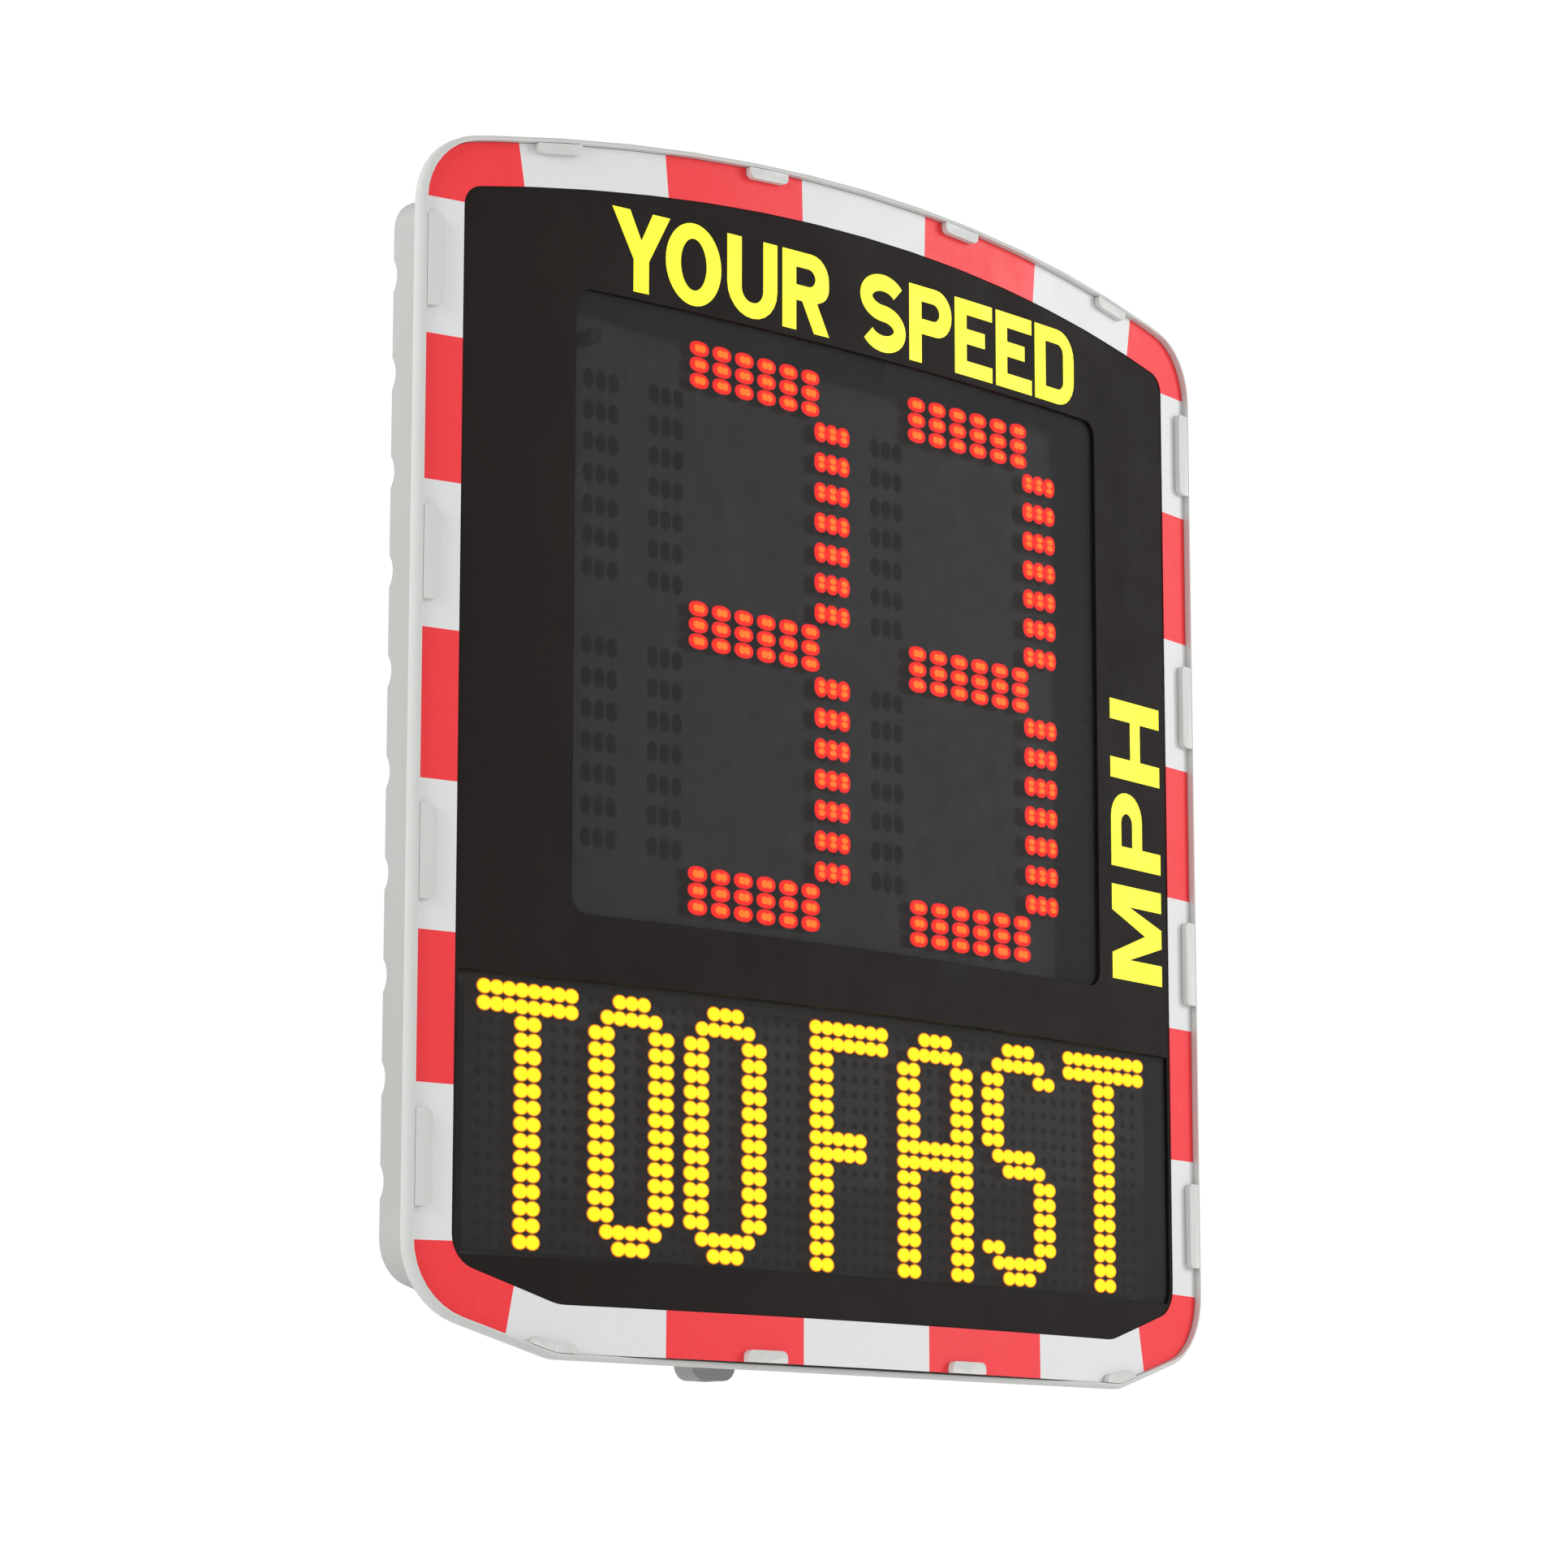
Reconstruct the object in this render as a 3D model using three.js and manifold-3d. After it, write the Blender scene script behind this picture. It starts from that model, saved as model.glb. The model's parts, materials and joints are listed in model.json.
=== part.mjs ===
// Solar speed sign: a bowed radar speed display whose fluted casing hangs on a vertical rail.
// Millimetres. +X is right for a driver facing the sign, +Y points away from the driver, +Z is up.
// The origin is on the rail's rear face, at the sign's mid-height.
import * as THREE from 'three';
import { mergeVertices } from 'three/addons/utils/BufferGeometryUtils.js';
import Module from 'manifold-3d';

const wasm = await Module();
wasm.setup();

// Driving dimensions
const TOTAL_DEPTH = 153.3;
const SIGN_HEIGHT = 731.7;
const BOW_RADIUS = 1970;
const LIP_RISE = 5.2;
const LIP_WIDTH = 3.3;
const GAP = 0.3;
const PANEL_THICKNESS = 1.7;
const RECESS = 2.8;
const LENS_THICKNESS = 2.2;
const LEDGE_BACK = 4.8;
const GASKET_THICKNESS = 2.7;
const CASING_BACK = -73;
const CASING_WALL = 3;
const CASING_BACK_WALL = 6;
const RAIL_DEPTH = 16;
const RAIL_HALF_WIDTH = 16.6;
const FOOT_HALF_WIDTH = 18.7;
const PIN_RADIUS = 4;
const HINGE_X = 327;
const HINGE_Y = -110;
const HINGE_HEIGHT = 220;
const CHASSIS_FRONT = -107.5;
const CHASSIS_BACK = -106;
const BOARD_FRONT = -115;
const BOARD_BACK = -113.4;

// Heights along the front, counted backwards from the face, and the face itself at the middle
const FACE_Y = LIP_RISE - TOTAL_DEPTH;
const LEDGE_FRONT = PANEL_THICKNESS + GAP;
const GASKET_FRONT = LEDGE_BACK + GAP;
const CASING_FRONT = GASKET_FRONT + GASKET_THICKNESS + GAP;

// Outlines seen from the front: crowned top, upright sides, slanted lower shoulders
const RIM = {
  halfWidth: 338.3, top: SIGN_HEIGHT / 2, arc: 1700, bottom: -SIGN_HEIGHT / 2,
  kink: 241, slope: 0.287, topCorner: 44, bottomCorner: 48,
};
const FACE = {
  halfWidth: 307.7, top: 336.2, arc: 1672, bottom: -334.9,
  kink: 236.5, slope: 0.31, topCorner: 13, bottomCorner: 20,
};
const CASING = {
  halfWidth: 317, top: 337.4, arc: 1671, bottom: -341.9,
  kink: 236, slope: 0.29, topCorner: 20, bottomCorner: 26,
};
const KINK_RADIUS = 26;
const ARC_STEPS = 12;
const CORNER_STEPS = 6;
const BOW_STEPS = 16;

// Windows, as left, right, bottom and top
const NUMBER_OPENING = [-228.5, 228.5, -110.4, 261.2];
const NUMBER_CORNER = 10.5;
const TEXT_BOTTOM = -308.9;
const TEXT_TOP = -148.9;
const LENS_OVERLAP = 7;

// Retaining clips
const CLIP_LENGTH = 54.5;
const CLIP_WIDTH = 31;
const SIDE_CLIP_REACH = 11;
const END_CLIP_REACH = 7;
const CLIP_CORNER = 4;
const SIDE_CLIP_Z = [259, 87, -85, -257];
const TOP_CLIP_X = [-245, -86, 86, 245];
const BOTTOM_CLIP_X = [-242, -86, 86, 242];

// Horizontal flutes across the casing's back
const FLUTE_PITCH = 58.8;
const FLUTE_COUNT = 10;
const FLUTE_LOWEST = -267;
const FLUTE_RADIUS = 15.7;
const FLUTE_DEPTH = 3.2;

// Battery bay, as left, right, bottom and top
const BAY = [-195, 195, -341, -128];
const BATTERY = { width: 181, depth: 77, height: 167, back: -26, bottom: -335.4 };

// Openings in the casing's floor, all at the same depth
const FLOOR_Y = -97;
const LOCK_X = -200;
const LOCK_RADIUS = 9;
const BUTTON_X = 215;
const GLAND_X = 150;
const VENT_X = 100;

const finish = (color, roughness, metalness = 0) =>
  new THREE.MeshStandardMaterial({ color, roughness, metalness });
const FINISH = {
  shell: finish(0xd2d4d1, 0.55),
  clip: finish(0xcfd1ce, 0.5),
  panel: finish(0x2b2928, 0.6),
  border: finish(0xf0484c, 0.45),
  lens: finish(0x343434, 0.35),
  rubber: finish(0x1c1c1c, 0.85),
  board: finish(0x1d3a26, 0.6),
  module: finish(0x303236, 0.5),
  steel: finish(0xb5b8ba, 0.35, 0.9),
  battery: finish(0x26282b, 0.55),
  webbing: finish(0x35383c, 0.9),
  rail: finish(0x8f918e, 0.5),
  button: finish(0x9c2a22, 0.5),
};

const sign = new THREE.Group();

// Shape helpers

const ORIGIN = new THREE.Vector2(0, 0);

function roundedShape(corners) {
  const points = [];
  corners.forEach(([x, y, radius], i) => {
    const corner = new THREE.Vector2(x, y);
    if (!radius) {
      points.push(corner);
      return;
    }
    const [beforeX, beforeY] = corners.at(i - 1);
    const [afterX, afterY] = corners[(i + 1) % corners.length];
    const before = new THREE.Vector2(beforeX, beforeY).sub(corner).normalize();
    const after = new THREE.Vector2(afterX, afterY).sub(corner).normalize();
    const half = Math.acos(before.dot(after)) / 2;
    const bisector = before.clone().add(after).normalize();
    const centre = corner.clone().addScaledVector(bisector, radius / Math.sin(half));
    const start = corner.clone().addScaledVector(before, radius / Math.tan(half)).sub(centre).angle();
    const end = corner.clone().addScaledVector(after, radius / Math.tan(half)).sub(centre).angle();
    const turn = Math.atan2(Math.sin(end - start), Math.cos(end - start));
    for (let step = 0; step <= CORNER_STEPS; step++) {
      const spoke = new THREE.Vector2(radius, 0).rotateAround(ORIGIN, start + (turn * step) / CORNER_STEPS);
      points.push(spoke.add(centre));
    }
  });
  return new THREE.Shape(points);
}

function outline(form, inset = 0) {
  const width = form.halfWidth - inset;
  const base = form.bottom + inset;
  const kink = form.kink - inset * Math.tan(Math.atan(form.slope) / 2);
  const shoulder = base + (width - kink) * form.slope;
  const radius = form.arc - inset;
  const crown = (x) => form.top - form.arc + Math.sqrt(radius * radius - x * x);
  const topCorner = Math.max(form.topCorner - inset, 4);
  const bottomCorner = Math.max(form.bottomCorner - inset, 4);
  const corners = [
    [-kink, base, KINK_RADIUS],
    [kink, base, KINK_RADIUS],
    [width, shoulder, bottomCorner],
    [width, crown(width), topCorner],
  ];
  for (let i = 1; i < ARC_STEPS; i++) {
    const x = width - (2 * width * i) / ARC_STEPS;
    corners.push([x, crown(x), 0]);
  }
  corners.push([-width, crown(width), topCorner], [-width, shoulder, bottomCorner]);
  return roundedShape(corners);
}

function rectangle([left, right, bottom, top], radius = 0) {
  const corners = [[left, bottom], [right, bottom], [right, top], [left, top]];
  return roundedShape(corners.map(([x, y]) => [x, y, radius]));
}

const grown = ([left, right, bottom, top], by) => [left - by, right + by, bottom - by, top + by];

// Solid helpers

function solid(geometry) {
  const bare = geometry.clone();
  bare.deleteAttribute('normal');
  bare.deleteAttribute('uv');
  const merged = mergeVertices(bare);
  return new wasm.Manifold(new wasm.Mesh({
    numProp: 3,
    vertProperties: new Float32Array(merged.attributes.position.array),
    triVerts: new Uint32Array(merged.index.array),
  }));
}

function extrude(shape, length, basis, offset) {
  const geometry = new THREE.ExtrudeGeometry(shape, { depth: length, bevelEnabled: false });
  geometry.applyMatrix4(new THREE.Matrix4().makeBasis(...basis));
  geometry.translate(...offset);
  return solid(geometry);
}

const X = new THREE.Vector3(1, 0, 0);
const Y = new THREE.Vector3(0, 1, 0);
const Z = new THREE.Vector3(0, 0, 1);

// alongX takes a shape drawn in Y and Z, alongY one drawn in X and Z, and alongZ one drawn in X and Y
const alongX = (shape, from, to) => extrude(shape, to - from, [Y, Z, X], [from, 0, 0]);
const alongY = (shape, from, to) => extrude(shape, to - from, [X, Z, Y.clone().negate()], [0, to, 0]);
const alongZ = (shape, from, to) => extrude(shape, to - from, [X, Y, Z], [0, 0, from]);

function block([x0, x1], [y0, y1], [z0, z1]) {
  const geometry = new THREE.BoxGeometry(x1 - x0, y1 - y0, z1 - z0);
  geometry.translate((x0 + x1) / 2, (y0 + y1) / 2, (z0 + z1) / 2);
  return solid(geometry);
}

function rod(axis, radius, [from, to], [a, b], sides = 20) {
  const geometry = new THREE.CylinderGeometry(radius, radius, to - from, sides);
  geometry.translate(0, (from + to) / 2, 0);
  if (axis === 'x') geometry.applyMatrix4(new THREE.Matrix4().makeBasis(Z, X, Y));
  if (axis === 'z') geometry.applyMatrix4(new THREE.Matrix4().makeBasis(Y, Z, X));
  const offset = { x: [0, a, b], y: [a, 0, b], z: [a, b, 0] }[axis];
  geometry.translate(...offset);
  return solid(geometry);
}

// A ring turned about Z: the profile lists radius and height, bottom to top on its outside
function turned(profile, x, y, sides = 24) {
  const points = profile.map(([radius, height]) => new THREE.Vector2(radius, height));
  const geometry = new THREE.LatheGeometry([...points, points[0]], sides);
  geometry.rotateX(Math.PI / 2);
  geometry.translate(x, y, 0);
  return solid(geometry);
}

const sag = (x) => BOW_RADIUS - Math.sqrt(BOW_RADIUS * BOW_RADIUS - x * x);

// A layer that follows the bowed front, from one depth behind the face to another
function bowed(front, back) {
  const reach = RIM.halfWidth + 8;
  const edge = [];
  for (let i = 0; i <= BOW_STEPS; i++) {
    const x = -reach + (2 * reach * i) / BOW_STEPS;
    edge.push([x, FACE_Y + sag(x)]);
  }
  const near = edge.map(([x, y]) => new THREE.Vector2(x, y + front));
  const far = edge.map(([x, y]) => new THREE.Vector2(x, y + back)).reverse();
  return alongZ(new THREE.Shape([...near, ...far]), -SIGN_HEIGHT, SIGN_HEIGHT);
}

// A column that runs right through the sign from front to back
const column = (shape) => alongY(shape, -2 * TOTAL_DEPTH, TOTAL_DEPTH);
const ring = (outer, inner) => column(outer).subtract(column(inner));
const band = (from, to) => block([-SIGN_HEIGHT, SIGN_HEIGHT], [-2 * TOTAL_DEPTH, TOTAL_DEPTH], [from, to]);

function add(name, body, material) {
  const { vertProperties, triVerts } = body.getMesh();
  const indexed = new THREE.BufferGeometry();
  indexed.setAttribute('position', new THREE.BufferAttribute(vertProperties, 3));
  indexed.setIndex(new THREE.BufferAttribute(triVerts, 1));
  const geometry = indexed.toNonIndexed();
  geometry.computeVertexNormals();
  const mesh = new THREE.Mesh(geometry, material);
  mesh.name = name;
  sign.add(mesh);
}

// Front: rim, panel, film, lenses and clips

function frontFrame() {
  const lip = ring(outline(RIM), outline(RIM, LIP_WIDTH)).intersect(bowed(-LIP_RISE, 2.5));
  const ledge = ring(outline(RIM, 1.8), outline(CASING, 6)).intersect(bowed(LEDGE_FRONT, LEDGE_BACK));
  add('front_frame', lip.add(ledge), FINISH.shell);
}

const textOpening = () => column(outline(FACE, 2.5)).intersect(band(TEXT_BOTTOM, TEXT_TOP));
const textLens = () => column(outline(CASING, 8)).intersect(band(TEXT_BOTTOM - 5, TEXT_TOP + LENS_OVERLAP));
const numberOpening = () => column(rectangle(NUMBER_OPENING, NUMBER_CORNER));
const numberLens = () => column(rectangle(grown(NUMBER_OPENING, LENS_OVERLAP), NUMBER_CORNER));

function facePanel() {
  const sheet = column(outline(RIM, LIP_WIDTH + GAP)).intersect(bowed(0, PANEL_THICKNESS));
  add('face_panel', sheet.subtract(numberOpening()).subtract(textOpening()), FINISH.panel);
}

function reflectiveBorder() {
  const film = ring(outline(RIM, LIP_WIDTH + GAP), outline(FACE)).intersect(bowed(-GAP - 0.4, -GAP));
  add('reflective_border', film, FINISH.border);
}

function windows() {
  const glass = bowed(RECESS, RECESS + LENS_THICKNESS);
  const seal = bowed(PANEL_THICKNESS + GAP, RECESS - GAP);
  add('number_window', numberLens().intersect(glass), FINISH.lens);
  add('text_window', textLens().intersect(glass), FINISH.lens);
  add('number_window_seal', numberLens().subtract(numberOpening()).intersect(seal), FINISH.rubber);
  add('text_window_seal', textLens().subtract(textOpening()).intersect(seal), FINISH.rubber);
}

// A clip's outline: its inner edge has round corners, and its outer edge runs on past the rim
function clipShape(x, z, angle, width, reach) {
  const corner = (u, v, radius) => {
    const turned = new THREE.Vector2(u, v).rotateAround(ORIGIN, angle);
    return [x + turned.x, z + turned.y, radius];
  };
  return roundedShape([
    corner(-width / 2, -60, 0), corner(width / 2, -60, 0),
    corner(width / 2, reach, CLIP_CORNER), corner(-width / 2, reach, CLIP_CORNER),
  ]);
}

function clips() {
  const start = LIP_WIDTH + GAP;
  const thickness = bowed(-LIP_RISE, -2 * GAP - 0.4);
  const layer = ring(outline(RIM, start), outline(RIM, start + 30)).intersect(thickness);
  const cut = (name, shape) => add(name, layer.intersect(column(shape)), FINISH.clip);
  const edge = RIM.halfWidth - start;
  SIDE_CLIP_Z.forEach((z, i) => {
    cut(`clip_left_${i + 1}`, clipShape(-edge, z, -Math.PI / 2, CLIP_LENGTH, SIDE_CLIP_REACH));
    cut(`clip_right_${i + 1}`, clipShape(edge, z, Math.PI / 2, CLIP_LENGTH, SIDE_CLIP_REACH));
  });
  TOP_CLIP_X.forEach((x, i) => {
    const lean = Math.asin(x / RIM.arc);
    const z = RIM.top - RIM.arc + (RIM.arc - start) * Math.cos(lean);
    cut(`clip_top_${i + 1}`, clipShape(x, z, Math.PI - lean, CLIP_WIDTH, END_CLIP_REACH));
  });
  BOTTOM_CLIP_X.forEach((x, i) => {
    const lean = Math.abs(x) < RIM.kink ? 0 : (Math.sign(x) * Math.atan(RIM.slope)) / 2;
    cut(`clip_bottom_${i + 1}`, clipShape(x, RIM.bottom + start, lean, CLIP_WIDTH, END_CLIP_REACH));
  });
}

function frameGasket() {
  const layer = bowed(GASKET_FRONT, GASKET_FRONT + GASKET_THICKNESS);
  add('frame_gasket', ring(outline(CASING, -1.5), outline(CASING, 5)).intersect(layer), FINISH.rubber);
}

// Display electronics, carried by the front

function displayBoards() {
  add('number_led_board', block([-214, 214], [BOARD_FRONT, BOARD_BACK], [-118, 258]), FINISH.board);
  add('text_led_board', block([-292, 292], [BOARD_FRONT, BOARD_BACK], [-305, -152]), FINISH.board);
}

const STANDOFFS = [
  [-200, -105], [0, -105], [200, -105], [-200, 70], [0, 70], [200, 70], [-200, 245], [0, 245], [200, 245],
  [-280, -295], [-95, -295], [95, -295], [280, -295], [-280, -162], [-95, -162], [95, -162], [280, -162],
];
const FLANGE_SPAN = [-130, 262];

// A channel-shaped plate: side flanges reach the face panel, and standoffs carry the boards
function displayChassis() {
  const plate = [CHASSIS_FRONT, CHASSIS_BACK];
  let chassis = block([-300, 300], plate, [-308, 262]).add(block([-60, 60], plate, [250, 324]));
  chassis = chassis.add(block([-300, -298.5], [-TOTAL_DEPTH, CHASSIS_BACK], FLANGE_SPAN));
  chassis = chassis.add(block([298.5, 300], [-TOTAL_DEPTH, CHASSIS_BACK], FLANGE_SPAN));
  for (const place of STANDOFFS) {
    chassis = chassis.add(rod('y', 3, [BOARD_BACK + GAP, CHASSIS_FRONT + 1], place, 8));
  }
  add('display_chassis', chassis.intersect(bowed(LEDGE_FRONT, TOTAL_DEPTH)), FINISH.steel);
}

function controllerBoard() {
  const board = block([-80, 80], [-102, -100.4], [-60, 40]);
  const heatSink = block([-60, -10], [-100.5, -92], [-45, 5]);
  const connectors = block([10, 70], [-100.5, -93], [20, 34]);
  const corners = [[-74, -54], [74, -54], [-74, 34], [74, 34]];
  const posts = corners.map((corner) => rod('y', 3, [CHASSIS_BACK + GAP, -101.5], corner, 8));
  const body = [heatSink, connectors, ...posts].reduce((sum, piece) => sum.add(piece), board);
  add('controller_board', body, FINISH.board);
}

function sensors() {
  const radar = block([-45, 45], [-136, CHASSIS_FRONT - GAP], [280, 320]);
  const antenna = block([-36, 36], [-138, -135], [284, 316]);
  add('radar_module', radar.add(antenna), FINISH.module);
  add('light_sensor', rod('y', 5, [-126, BOARD_FRONT - GAP], [-205, 238], 16), FINISH.module);
}

// Hinges, on the right edge between the rim and the casing

function hingeLeaves(label, height) {
  const knuckle = (from, to) => rod('z', 3.9, [height + from, height + to], [HINGE_X, HINGE_Y]);
  const bore = rod('z', 2.3, [height - 40, height + 40], [HINGE_X, HINGE_Y], 16);
  const middle = [height - 14.7, height + 14.7];
  const web = block([HINGE_X - 3, HINGE_X + 3], [HINGE_Y - 4.6, HINGE_Y], middle);
  const foot = block([HINGE_X - 6, HINGE_X + 6], [HINGE_Y - 4.6, HINGE_Y - 3.3], middle);
  add(`hinge_door_leaf_${label}`, knuckle(-14.7, 14.7).add(web).add(foot).subtract(bore), FINISH.steel);

  const plateX = CASING.halfWidth + GAP;
  const plate = block([plateX, plateX + 1.8], [HINGE_Y - 1, HINGE_Y + 24], [height - 31, height + 31]);
  const arms = [[-31, -15], [15, 31]].map(([from, to]) => {
    const web = block([plateX, HINGE_X], [HINGE_Y - 1, HINGE_Y + 2.5], [height + from, height + to]);
    return knuckle(from, to).add(web);
  });
  add(`hinge_casing_leaf_${label}`, plate.add(arms[0]).add(arms[1]).subtract(bore), FINISH.steel);
}

function hingePin(label, height) {
  const shank = rod('z', 2, [height - 32.5, height + 32.5], [HINGE_X, HINGE_Y], 16);
  const head = rod('z', 3.4, [height + 31.3, height + 34], [HINGE_X, HINGE_Y], 16);
  add(`hinge_pin_${label}`, shank.add(head), FINISH.steel);
}

function hinges() {
  for (const [label, height] of [['upper', HINGE_HEIGHT], ['lower', -HINGE_HEIGHT]]) {
    hingeLeaves(label, height);
    hingePin(label, height);
  }
}

// Rear casing: fluted pan with a deeper battery bay

function rearCasing() {
  const pan = alongY(outline(CASING), -TOTAL_DEPTH, CASING_BACK).intersect(bowed(CASING_FRONT, TOTAL_DEPTH));
  let shell = pan;
  for (let i = 0; i < FLUTE_COUNT; i++) {
    const place = [CASING_BACK - FLUTE_DEPTH + FLUTE_RADIUS, FLUTE_LOWEST + i * FLUTE_PITCH];
    shell = shell.subtract(rod('x', FLUTE_RADIUS, [-CASING.halfWidth - 5, CASING.halfWidth + 5], place, 32));
  }
  const bayBack = -RAIL_DEPTH - GAP;
  shell = shell.add(alongY(rectangle(BAY, 5), CASING_BACK - 4, bayBack));
  const inner = outline(CASING, CASING_WALL);
  shell = shell.subtract(alongY(inner, -2 * TOTAL_DEPTH, CASING_BACK - CASING_BACK_WALL));
  const bayInside = alongY(rectangle(grown(BAY, -CASING_WALL), 2), CASING_BACK - 20, bayBack - CASING_WALL);
  shell = shell.subtract(bayInside);
  const floorHoles = [[LOCK_X, LOCK_RADIUS], [BUTTON_X, 10], [GLAND_X, 9], [VENT_X, 7]];
  for (const [x, radius] of floorHoles) {
    shell = shell.subtract(rod('z', radius + GAP, [-350, -330], [x, FLOOR_Y], 24));
  }
  const lockSlot = block([-12, 17], [-25, -10], [-335, -327]);
  add('rear_casing', shell.subtract(lockSlot), FINISH.shell);
}

// Door lock: key barrel and cam in the casing, strike on the chassis

function doorLock() {
  const barrel = rod('z', LOCK_RADIUS, [-341.5, -322.3], [LOCK_X, FLOOR_Y], 24);
  const head = rod('z', 11.5, [-345, -342.2], [LOCK_X, FLOOR_Y], 24);
  const neck = rod('z', 7.5, [-342.5, -341], [LOCK_X, FLOOR_Y], 24);
  const keyway = block([LOCK_X - 1, LOCK_X + 1], [FLOOR_Y - 4, FLOOR_Y + 4], [-346, -338]);
  add('door_lock_barrel', barrel.add(head).add(neck).subtract(keyway), FINISH.steel);

  const arm = block([LOCK_X - 4, LOCK_X + 4], [FLOOR_Y - 28, FLOOR_Y], [-322, -319]);
  const hub = rod('z', 8, [-322, -319], [LOCK_X, FLOOR_Y], 24);
  add('door_lock_cam', arm.add(hub), FINISH.steel);

  const strike = new THREE.Shape([
    [CHASSIS_BACK + GAP, -285], [CHASSIS_BACK + GAP, -306], [-90, -306], [-90, -326],
    [-87, -326], [-87, -303.5], [CHASSIS_BACK + GAP + 2, -303.5], [CHASSIS_BACK + GAP + 2, -285],
  ].map(([y, z]) => new THREE.Vector2(y, z)));
  add('door_strike', alongX(strike, LOCK_X - 36, LOCK_X - 14), FINISH.steel);
}

// Power supply inside the casing

function batteries() {
  const { width, depth, height, back, bottom } = BATTERY;
  const front = back - depth;
  add('battery_tray', block([-189, 189], [front, back + 4], [bottom - 2.2, bottom - GAP]), FINISH.steel);
  const top = bottom + height;
  const strapShape = new THREE.Shape([
    [back + 6, top + GAP], [back + 6, top + GAP + 1.5], [front - GAP - 1.5, top + GAP + 1.5],
    [front - GAP - 1.5, bottom], [front - GAP, bottom], [front - GAP, top + GAP],
  ].map(([y, z]) => new THREE.Vector2(y, z)));
  for (const [label, sideSign] of [['left', -1], ['right', 1]]) {
    const centre = sideSign * (width / 2 + 5);
    const around = (x, half) => [centre + x - half, centre + x + half];
    const post = (x) => block(around(x, 6), [back - 22, back - 10], [top - 1, top + 8]);
    const body = block(around(0, width / 2), [front, back], [bottom, top]);
    add(`battery_${label}`, body.add(post(-72)).add(post(72)), FINISH.battery);
    add(`battery_strap_${label}`, alongX(strapShape, ...around(0, 12.5)), FINISH.webbing);
  }
}

function supplyElectronics() {
  const wall = CASING_BACK - CASING_BACK_WALL - GAP;
  const controller = block([-65, 65], [wall - 24, wall], [60, 140]);
  const terminals = block([-50, 50], [wall - 16, wall], [50, 61]);
  add('charge_controller', controller.add(terminals), FINISH.module);
  const holder = block([105, 135], [wall - 14, wall], [70, 84]);
  const cap = rod('z', 5, [83, 96], [120, wall - 7], 16);
  add('fuse_holder', holder.add(cap), FINISH.module);
}

function floorFittings() {
  const gland = [
    [3.5, -362], [7, -362], [9.5, -355], [13, -355], [13, -342.2], [9, -342.2], [9, -338.2], [3.5, -338.2],
  ];
  add('solar_inlet_gland', turned(gland, GLAND_X, FLOOR_Y), FINISH.rubber);
  const ventCap = rod('z', 9.5, [-346, -342.2], [VENT_X, FLOOR_Y], 24);
  const ventStem = rod('z', 7, [-342.5, -338.2], [VENT_X, FLOOR_Y], 24);
  add('vent_plug', ventCap.add(ventStem), FINISH.rubber);
  const bezel = [[8, -343.9], [12.5, -343.9], [12.5, -342.2], [10, -342.2], [10, -335], [8, -335]];
  add('power_button_bezel', turned(bezel, BUTTON_X, FLOOR_Y), FINISH.steel);
  add('power_button', rod('z', 7.7, [-346.4, -336], [BUTTON_X, FLOOR_Y], 24), FINISH.button);
}

// Rail, hook pins, hangers and the rail lock

const HOOKS = { upper: 150, lower: -250 };
const HOOK_Y = -8;
const CHEEK = [RAIL_HALF_WIDTH + 0.6, RAIL_HALF_WIDTH + 4.6];
const HANGER_DROP = 35;

function mountingRail() {
  const bottom = 1 - SIGN_HEIGHT / 2;
  const footTop = CASING.bottom - 3;
  const face = roundedShape([
    [-FOOT_HALF_WIDTH, bottom, 10], [FOOT_HALF_WIDTH, bottom, 10],
    [FOOT_HALF_WIDTH, footTop, 1], [RAIL_HALF_WIDTH, footTop, 0.5],
    [RAIL_HALF_WIDTH, 240, 3], [-RAIL_HALF_WIDTH, 240, 3],
    [-RAIL_HALF_WIDTH, footTop, 0.5], [-FOOT_HALF_WIDTH, footTop, 1],
  ]);
  let rail = alongY(face, -RAIL_DEPTH, 0);
  for (const z of Object.values(HOOKS)) {
    rail = rail.subtract(rod('x', PIN_RADIUS + GAP, [-40, 40], [HOOK_Y, z]));
  }
  for (const z of [-100, 60, 210]) {
    rail = rail.subtract(block([-40, 40], [-6, -3], [z - 12, z + 12]));
  }
  rail = rail.subtract(rod('z', 5.8, [-370, -335], [0, HOOK_Y], 24));
  rail = rail.subtract(block([-8, 20], [-20, -1.5], [-336, -326]));
  add('mounting_rail', rail, FINISH.rail);
}

function hookPins() {
  for (const [label, z] of Object.entries(HOOKS)) {
    add(`hook_pin_${label}`, rod('x', PIN_RADIUS, [-24, 24], [HOOK_Y, z]), FINISH.steel);
  }
}

function hookSlot(z) {
  const clear = PIN_RADIUS + GAP;
  const throat = block([-60, 60], [HOOK_Y - clear, HOOK_Y + clear], [z - HANGER_DROP - 5, z]);
  return throat.add(rod('x', clear, [-60, 60], [HOOK_Y, z]));
}

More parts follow.
